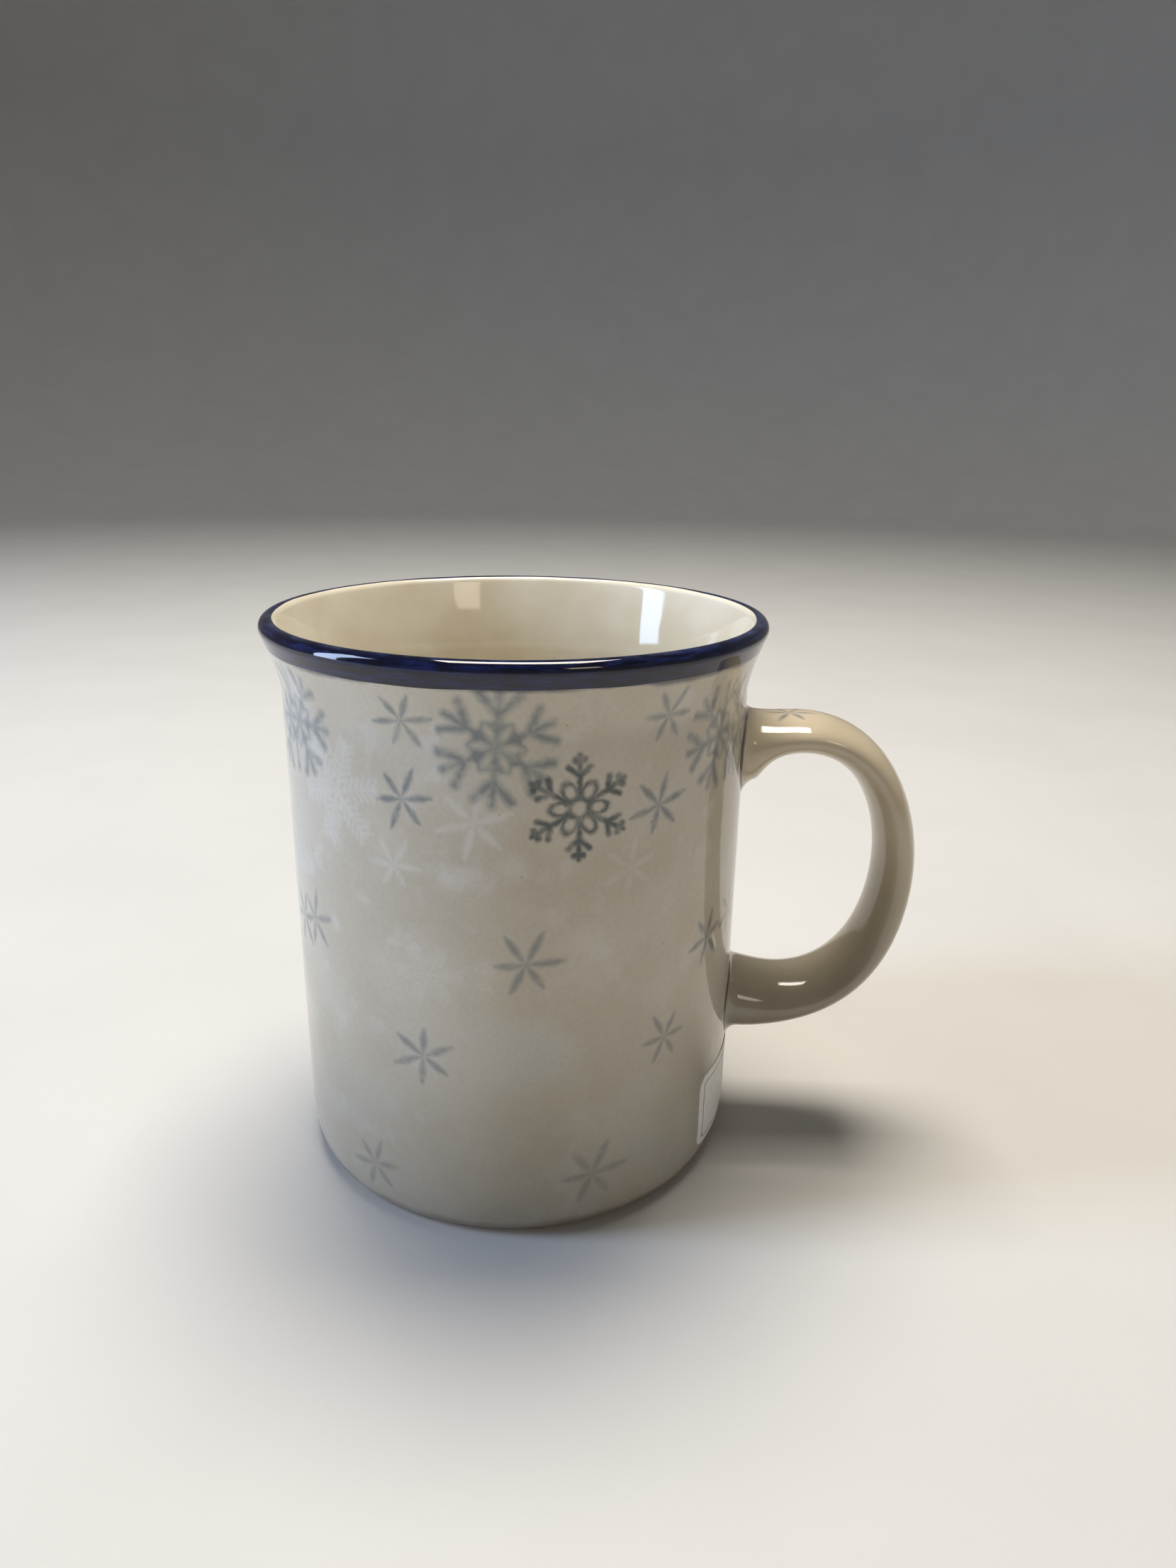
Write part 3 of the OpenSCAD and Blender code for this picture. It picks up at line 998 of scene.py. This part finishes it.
    def build_outer(self) -> None:
        """Builds the glaze on the outer wall, with its stamps."""
        shape, angles = self.shape, self.angles
        points = spin([self.outer_outline(a) for a in angles], angles)
        front = len(self.wall_side(0, 0, shape.bare_turn))
        shell = Shell("outer_glaze_skin", points, (0, front - 1))
        round_mm = 2 * math.pi * shape.wall_r
        stamps = [
            Stamp(sponge, math.radians(degrees + ROUND_TURN * number) * shape.wall_r, up + drift, *rest)
            for number, drift in enumerate(ROUND_DRIFT)
            for sponge, degrees, up, *rest in ROUND_OF_STAMPS
        ]
        across = np.linspace(0, round_mm, self.steps + 1)
        unrolled = np.stack(np.broadcast_arrays(across[:, None], points[0, :, 2]), axis=2)
        maps = StampMaps(stamps, round_mm).lay(shell.corners(unrolled))
        glaze = StampedGlaze(band_z=shape.band_z, foot_z=shape.bare_h).make()
        shell.build(glaze, "outer_glaze", "stamped_glaze", maps)

    def build_band(self) -> None:
        """Builds the cobalt band that runs over the lip."""
        angles = self.angles
        back = self.shape.glaze_t
        outlines = [np.concatenate([self.band_side(a, 0), self.band_side(a, back)[::-1]]) for a in angles]
        points = spin(outlines, angles)
        shell = Shell("cobalt_rim_band_skin", points, (0, points.shape[1] // 2 - 1), rows=6)
        shell.build(CobaltGlaze(self.shape.height).make(), "cobalt_rim_band", "cobalt_glaze")

    def build_inside(self) -> None:
        """Builds the cream glaze inside, from the cobalt down to the middle of the floor."""
        angles = self.angles
        back = self.shape.glaze_t
        outlines = [np.concatenate([self.inner_side(a, back)[::-1], self.inner_side(a, 0)]) for a in angles]
        points = spin(outlines, angles)
        half = points.shape[1] // 2
        shell = Shell("inner_glaze_skin", points, (half, 2 * half - 1), joined=False)
        shell.build(CreamGlaze("poured_cream_glaze").make(), "inner_glaze", "cream_glaze")

    def build_base(self) -> None:
        """Builds the glazed disc in the recess, with the loose edge that wiping leaves."""
        shape, angles = self.shape, self.angles
        ring_in_r = shape.wall_r - shape.foot_in - shape.ring_turn_in - shape.ring_w
        disc_r = ring_in_r - shape.recess_slope - shape.glaze_t
        thick, top = shape.glaze_t, shape.recess_h
        turn = np.linspace(0, math.pi / 2, self.EDGE_POINTS)
        edge = pairs(thick * np.cos(turn), -thick * np.sin(turn))
        outlines = []
        for angle in angles:
            r = disc_r - thick - self.WIPED_BACK + waver(angle, (0.25, 0.15, 0.1), (3, 7, 15))
            rear = pairs(np.linspace(0, r + thick, self.EDGE_POINTS)[:-1], top)
            front = pairs(np.linspace(r, 0, self.DISC_POINTS)[1:], top - thick)
            outlines.append(np.concatenate([rear, edge + np.array([r, top]), front]))
        points = spin(outlines, angles)
        shell = Shell("base_glaze_skin", points, (self.EDGE_POINTS - 1, points.shape[1] - 1), joined=False)
        shell.build(CreamGlaze("wiped_cream_glaze").make(), "base_glaze", "cream_glaze")

    def dress_clay(self) -> None:
        """Gives the clay and the slip their finishes."""
        clay = FiredClay("fired_stoneware_clay").make()
        slip = FiredClay("scored_joining_slip", colour="#c2ab88", shade="#a8906d", grit_mm=0.3).make()
        finishes = {"stoneware_cup": clay, "handle": clay, "upper_slip_joint": slip, "lower_slip_joint": slip}
        for name, finish in finishes.items():
            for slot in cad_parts[name].material_slots:
                slot.material = finish
            log.info("%s: CAD piece, %s", name, finish.name)

    def build(self) -> None:
        """Builds every piece of the cup."""
        self.dress_clay()
        self.build_outer()
        self.build_band()
        self.build_inside()
        self.build_base()


@dataclass(frozen=True)
class StrapHandle:
    """The pulled strap: two Bezier curves that meet at its furthest point, blended into the wall."""

    cup: CupShape
    upper_root_drop: float = 23.2
    lower_root_h: float = 26.6
    reach: float = 29.5
    apex_share: float = 0.54
    upper_climb: float = 9.0
    lower_drop: float = 4.0
    shoulder: float = 22.5
    upper_pull: float = 0.24
    lower_pull: float = 0.29
    strap_w: float = 16.0
    strap_t: float = 6.2
    root_w: float = 18.0
    upper_root_t: float = 13.0
    lower_root_t: float = 12.0
    upper_taper: float = 4.0
    lower_taper: float = 13.0
    root_depth: float = 3.5
    # radius of the glaze that gathers where the strap meets the wall
    fillet: float = 2.2
    # how far the glaze's cut edge hides in the wall's own glaze
    sunk: float = 0.1
    lines: int = 96
    rings: int = 150

    # share of the rings that are evenly spaced, and points along each curve and along a search for its ends
    EVEN_SHARE = 0.35
    CURVE_POINTS = 600
    SEARCH_POINTS = 1600

    def centre_line(self) -> tuple[np.ndarray, np.ndarray]:
        """Follows the middle of the strap.

        Returns:
            Its points in the XZ plane and the distance of each from the upper root.
        """
        wall_r, top = self.cup.wall_r, self.cup.height - self.upper_root_drop
        span = top - self.lower_root_h
        apex = np.array([wall_r + self.reach, self.lower_root_h + self.apex_share * span])
        up = np.array([0.0, span])
        shoulder = wall_r + self.shoulder
        upper = [(wall_r, top), (shoulder, top + self.upper_climb), apex + self.upper_pull * up, apex]
        low = self.lower_root_h
        lower = [apex, apex - self.lower_pull * up, (shoulder, low - self.lower_drop), (wall_r, low)]
        s = np.linspace(0, 1, self.CURVE_POINTS)[:, None]
        curves = [
            p[0] * (1 - s) ** 3 + 3 * p[1] * s * (1 - s) ** 2 + 3 * p[2] * s**2 * (1 - s) + p[3] * s**3
            for p in (np.array(upper), np.array(lower))
        ]
        points = np.concatenate([curves[0], curves[1][1:]])
        distance = np.concatenate([[0], np.cumsum(np.linalg.norm(np.diff(points, axis=0), axis=1))])
        start = points[0] - self.root_depth * self.unit(points[1] - points[0])
        end = points[-1] + self.root_depth * self.unit(points[-1] - points[-2])
        ends = (distance[0] - self.root_depth, distance[-1] + self.root_depth)
        return np.concatenate([[start], points, [end]]), np.concatenate([[ends[0]], distance, [ends[1]]])

    @staticmethod
    def unit(run: np.ndarray) -> np.ndarray:
        """Returns a direction of length one."""
        return run / np.linalg.norm(run, axis=-1, keepdims=True)

    def swell(self, s: np.ndarray, length: float, middle: float, upper: float, lower: float) -> np.ndarray:
        """Returns a width along the strap that swells from its middle value to its roots'."""
        from_top, from_low = np.clip(s, 0, None), np.clip(length - s, 0, None)
        return (
            middle
            + (upper - middle) * np.exp(-((from_top / self.upper_taper) ** 1.5))
            + (lower - middle) * np.exp(-((from_low / self.lower_taper) ** 1.5))
        )

    def surface(self, s: np.ndarray, turn: float, out: np.ndarray | float) -> np.ndarray:
        """Places points on the strap's skin.

        Args:
            s: Distances along the strap from the upper root.
            turn: Angle round the section, from its side at +Y to the outside.
            out: How far outside the clay.

        Returns:
            The points, by three.
        """
        points, distance = self.centre_line()
        length = distance[-1] - self.root_depth
        along = self.unit(np.gradient(points, distance, axis=0))
        x, z, dx, dz = (np.interp(s, distance, v) for v in (*points.T, *along.T))
        half_t = self.swell(s, length, self.strap_t, self.upper_root_t, self.lower_root_t) / 2 + out
        half_w = self.swell(s, length, self.strap_w, self.root_w, self.root_w) / 2 + out
        rise = half_t * math.sin(turn)
        return np.stack([x - dz * rise, half_w * math.cos(turn), z + dx * rise], axis=1)

    def ends(self, turn: float) -> tuple[float, float]:
        """Returns the distances along the strap at which its glaze meets the wall, on one line along it."""
        _, distance = self.centre_line()
        s = np.linspace(distance[0], distance[-1], self.SEARCH_POINTS)
        outside = np.hypot(*self.surface(s, turn, self.cup.glaze_t)[:, :2].T) - self.cup.wall_r
        half = len(s) // 2
        first = np.flatnonzero(outside[:half] <= 0)[-1]
        last = half + np.flatnonzero(outside[half:] <= 0)[0]
        upper = np.interp(0, outside[first : first + 2], s[first : first + 2])
        lower = np.interp(0, outside[last : last - 2 : -1], s[last : last - 2 : -1])
        return float(upper), float(lower)

    def line(self, turn: float) -> tuple[np.ndarray, np.ndarray]:
        """Runs along the glaze from root to root and back along the clay under it.

        Args:
            turn: Angle round the section.

        Returns:
            The points, and the distance along the strap of each.
        """
        wall_r, fillet = self.cup.wall_r, self.fillet
        upper, lower = self.ends(turn)
        even = np.linspace(0, 1, self.rings)
        # rings stand closer together at the roots
        share = self.EVEN_SHARE * even + (1 - self.EVEN_SHARE) * (0.5 - 0.5 * np.cos(math.pi * even))
        s = upper + (lower - upper) * share
        plain = self.surface(s, turn, self.cup.glaze_t)
        height = np.clip(np.hypot(*plain[:, :2].T) - wall_r, 0, None)
        short = np.clip(fillet - height, 0, fillet)
        spread = fillet - np.sqrt(fillet**2 - short**2)
        front = self.surface(s, turn, self.cup.glaze_t + spread)
        front[:, :2] *= ((wall_r + height) / np.hypot(*front[:, :2].T))[:, None]
        rear = self.surface(s, turn, 0.0)
        rear[:, :2] *= (np.maximum(np.hypot(*rear[:, :2].T), wall_r) / np.hypot(*rear[:, :2].T))[:, None]
        for face in (front, rear):
            for end in (0, -1):
                face[end, :2] *= (wall_r - self.sunk) / np.hypot(*face[end, :2])
        return np.concatenate([front, rear[::-1]]), np.concatenate([s, s[::-1]])

    def unrolled(self, turns: np.ndarray, along: np.ndarray) -> np.ndarray:
        """Flattens the skin: distance round the section from its outside, and distance along the strap."""
        edge = np.stack([self.strap_w / 2 * np.cos(turns), self.strap_t / 2 * np.sin(turns)], axis=1)
        around = np.concatenate([[0], np.cumsum(np.linalg.norm(np.diff(edge, axis=0), axis=1))])
        around -= np.interp(math.pi / 2, turns, around)
        return np.stack(np.broadcast_arrays(-around[:, None], along), axis=2)

    def build(self) -> None:
        """Builds the strap's glaze, with its stamps and the dark line at its roots."""
        turns = np.linspace(0, 2 * math.pi, self.lines + 1)
        lines = [self.line(turn) for turn in turns[:-1]]
        points = np.stack([places for places, _ in lines])
        along = np.stack([s for _, s in lines] + [lines[0][1]])
        shell = Shell("handle_glaze_skin", points, (0, self.rings - 1))
        length = along.max()
        stamps = [
            Stamp(STAR, -0.3, 8.7, 4.6, 30, GREY, 0.74),
            Stamp(STAR, 1.5, 0.36 * length, 4.6, 25, GREY, 0.7),
            Stamp(FROST, -2.0, 0.49 * length, 4.4, 5, WHITE, 0.5),
            Stamp(STAR, -1.0, 0.62 * length, 4.6, 0, GREY, 0.72),
            Stamp(STAR, 0.8, 0.82 * length, 4.4, 17, GREY, 0.66),
        ]
        flat = self.unrolled(turns, along)
        round_mm = float(np.ptp(flat[..., 0]))
        maps = StampMaps(stamps, round_mm).lay(shell.corners(flat))
        wall_r = self.cup.wall_r
        glaze = CreamGlaze("brushed_cream_glaze", "#cec1aa", "#c0b298", stamped=True, line_at_r=wall_r).make()
        shell.build(glaze, "handle_glaze", "handle_glaze", maps)


@dataclass(frozen=True)
class PriceLabel:
    """The paper label under the handle, die-cut with round corners and pressed round the wall."""

    cup: CupShape
    width: float = 40.0
    tall: float = 15.0
    corner: float = 2.5
    thick: float = 0.12
    # middle of the label, degrees round the cup and height
    turn: float = -3.0
    middle_z: float = 12.5
    # how far one corner has come away from the wall
    lift: float = 0.45
    steps: int = 240
    rings: int = 16

    SHEET = "label_sheet"
    CORNER_POINTS = 24
    # a hundredth of a millimetre keeps the paper's back off the glaze
    OFF_GLAZE = 0.01

    @classmethod
    def from_frame(cls, cup: CupShape) -> "PriceLabel":
        """Reads the label's height on the wall from its CAD node."""
        low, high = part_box("price_label")
        return cls(cup, middle_z=(low[2] + high[2]) / 2 / MM)

    def edge(self) -> np.ndarray:
        """Returns evenly spaced points round the die-cut edge, from the middle."""
        core = np.array([self.width / 2 - self.corner, self.tall / 2 - self.corner])
        turns = np.linspace(0, math.pi / 2, self.CORNER_POINTS)
        points = []
        for quarter, (sx, sy) in enumerate(((1, 1), (-1, 1), (-1, -1), (1, -1))):
            a = turns + quarter * math.pi / 2
            points.append(core * (sx, sy) + self.corner * np.stack([np.cos(a), np.sin(a)], axis=1))
        cut = np.concatenate([*points, points[0][:1]])
        along = np.concatenate([[0], np.cumsum(np.linalg.norm(np.diff(cut, axis=0), axis=1))])
        even = np.linspace(0, along[-1], self.steps, endpoint=False)
        return np.stack([np.interp(even, along, cut[:, 0]), np.interp(even, along, cut[:, 1])], axis=1)

    def on_wall(self, flat: np.ndarray, out: float) -> np.ndarray:
        """Bends flat points round the wall.

        Args:
            flat: Distances across and up from the label's middle.
            out: How far outside the glaze.

        Returns:
            The points, by three.
        """
        x, y = np.moveaxis(flat, -1, 0)
        z = self.middle_z + y
        # one lower corner has come away by a hair
        loose = np.clip((x / self.width * 2 - y / self.tall * 2 - 1.1) / 0.9, 0, 1) ** 2 * self.lift
        r = self.cup.wall_at(z) + out + loose
        angle = math.radians(self.turn) + np.arcsin(x / self.cup.wall_r)
        return np.stack([r * np.cos(angle), r * np.sin(angle), z], axis=-1)

    def build(self) -> None:
        """Builds the sheet from its middle out to the edge on the back, and in again on the face."""
        edge = self.edge()
        shares = np.linspace(0, 1, self.rings)
        flat = edge[:, None, :] * np.concatenate([shares, shares[::-1]])[None, :, None]
        rear = self.on_wall(flat[:, : self.rings], self.OFF_GLAZE)
        front = self.on_wall(flat[:, self.rings :], self.thick)
        points = np.concatenate([rear, front], axis=1)
        seen = (self.rings, 2 * self.rings - 1)
        shell = Shell("price_label_sheet", points, seen, joined=False, rows=1)
        wrapped = np.concatenate([flat, flat[:1]])
        maps = {self.SHEET: shell.corners(wrapped)}
        paper = LabelPaper(self.width / 2, self.tall / 2).make()
        shell.build(paper, "price_label", "label_paper", maps)


# ----------------------------------------------------------------------------------------
# Studio
# ----------------------------------------------------------------------------------------


@dataclass(frozen=True)
class Softbox:
    """One soft light, in metres: where it stands, its sides, its power and its colour. It faces the mug."""

    name: str
    place: tuple[float, float, float]
    size: Pair
    watts: float
    colour: str

    def build(self) -> None:
        """Hangs the light and turns it to the middle of the mug."""
        lamp = bpy.data.lights.new(self.name, "AREA")
        lamp.shape = "RECTANGLE"
        lamp.size, lamp.size_y = self.size
        lamp.energy = self.watts
        lamp.color = linear(self.colour)[:3]
        holder = bpy.data.objects.new(self.name, lamp)
        bpy.context.scene.collection.objects.link(holder)
        place = Vector(self.place)
        aim = (Vector((0, 0, 0.05)) - place).to_track_quat("-Z", "Y")
        holder.matrix_world = Matrix.Translation(place) @ aim.to_matrix().to_4x4()


@dataclass(frozen=True)
class Studio:
    """A pale paper sweep, soft lights and the camera."""

    lights: tuple[Softbox, ...] = (
        Softbox("overhead_softbox", (0.0, 0.2, 1.0), (0.55, 0.4), 12.4, "#fff8ec"),
        Softbox("left_strip", (-0.9, -0.15, 0.4), (0.22, 0.9), 8.5, "#c6dcff"),
        Softbox("front_fill", (0.7, -1.0, 0.9), (0.3, 0.3), 1.3, "#ffeeda"),
    )
    world: str = "#dfe3e8"
    world_strength: float = 0.12
    floor_r: float = 1.4
    sweep_r: float = 0.7
    wall_z: float = 2.2
    steps: int = 128

    def build_floor(self) -> None:
        """Builds a round paper sweep, flat under the mug and turned up far behind it on every side."""
        turn = np.linspace(0, math.pi / 2, 24)
        flat = np.stack([np.linspace(0.001, self.floor_r, 20), np.zeros(20)], axis=1)
        bend = np.stack([np.sin(turn), 1 - np.cos(turn)], axis=1) * self.sweep_r + (self.floor_r, 0)
        outline = np.concatenate([flat, bend[1:], [[self.floor_r + self.sweep_r, self.wall_z]]])
        angles = np.arange(self.steps) * 2 * math.pi / self.steps
        points = spin([outline] * self.steps, angles)
        along = len(outline)
        starts = [(i * along, (i + 1) % self.steps * along) for i in range(self.steps)]
        faces = [(a + j, b + j, b + j + 1, a + j + 1) for a, b in starts for j in range(along - 1)]
        faces.append(tuple(i * along for i in range(self.steps)))
        mesh = bpy.data.meshes.new("paper_sweep")
        mesh.from_pydata(points.reshape(-1, 3).tolist(), [], faces)
        mesh.shade_smooth()
        mesh.materials.append(StudioPaper().make())
        sweep = bpy.data.objects.new("paper_sweep", mesh)
        bpy.context.scene.collection.objects.link(sweep)

    def build_world(self) -> None:
        """Fills the studio with a little even light."""
        world = bpy.data.worlds.new("studio_air")
        world.use_nodes = True
        background = world.node_tree.nodes["Background"]
        background.inputs["Color"].default_value = linear(self.world)
        background.inputs["Strength"].default_value = self.world_strength
        bpy.context.scene.world = world

    def build_camera(self) -> None:
        """Sets the camera in front of the mug, above its rim and looking down into it."""
        lens = bpy.data.cameras.new("camera")
        lens.lens = 24.24
        lens.sensor_width = 36.0
        lens.clip_start = 0.01
        camera = bpy.data.objects.new("camera", lens)
        bpy.context.scene.collection.objects.link(camera)
        turn = Matrix.Identity(4)
        # heading, pitch and roll
        for degrees, axis in ((1.01, "Z"), (71.1, "X"), (0.98, "Z")):
            turn @= Matrix.Rotation(math.radians(degrees), 4, axis)
        camera.matrix_world = Matrix.Translation(Vector((16.11, -184.19, 131.02)) * MM) @ turn
        bpy.context.scene.camera = camera

    def build(self) -> None:
        """Builds the whole studio."""
        self.build_floor()
        self.build_world()
        self.build_camera()
        for light in self.lights:
            light.build()
        bpy.context.scene.view_settings.view_transform = "Standard"


def main() -> None:
    """Builds the studio and every piece of the mug."""
    logging.basicConfig(level=logging.INFO, format="%(name)s: %(message)s")
    Studio().build()
    shape = CupShape.from_frame()
    Cup(shape).build()
    StrapHandle(shape).build()
    PriceLabel.from_frame(shape).build()


if __name__ == "__main__":
    main()
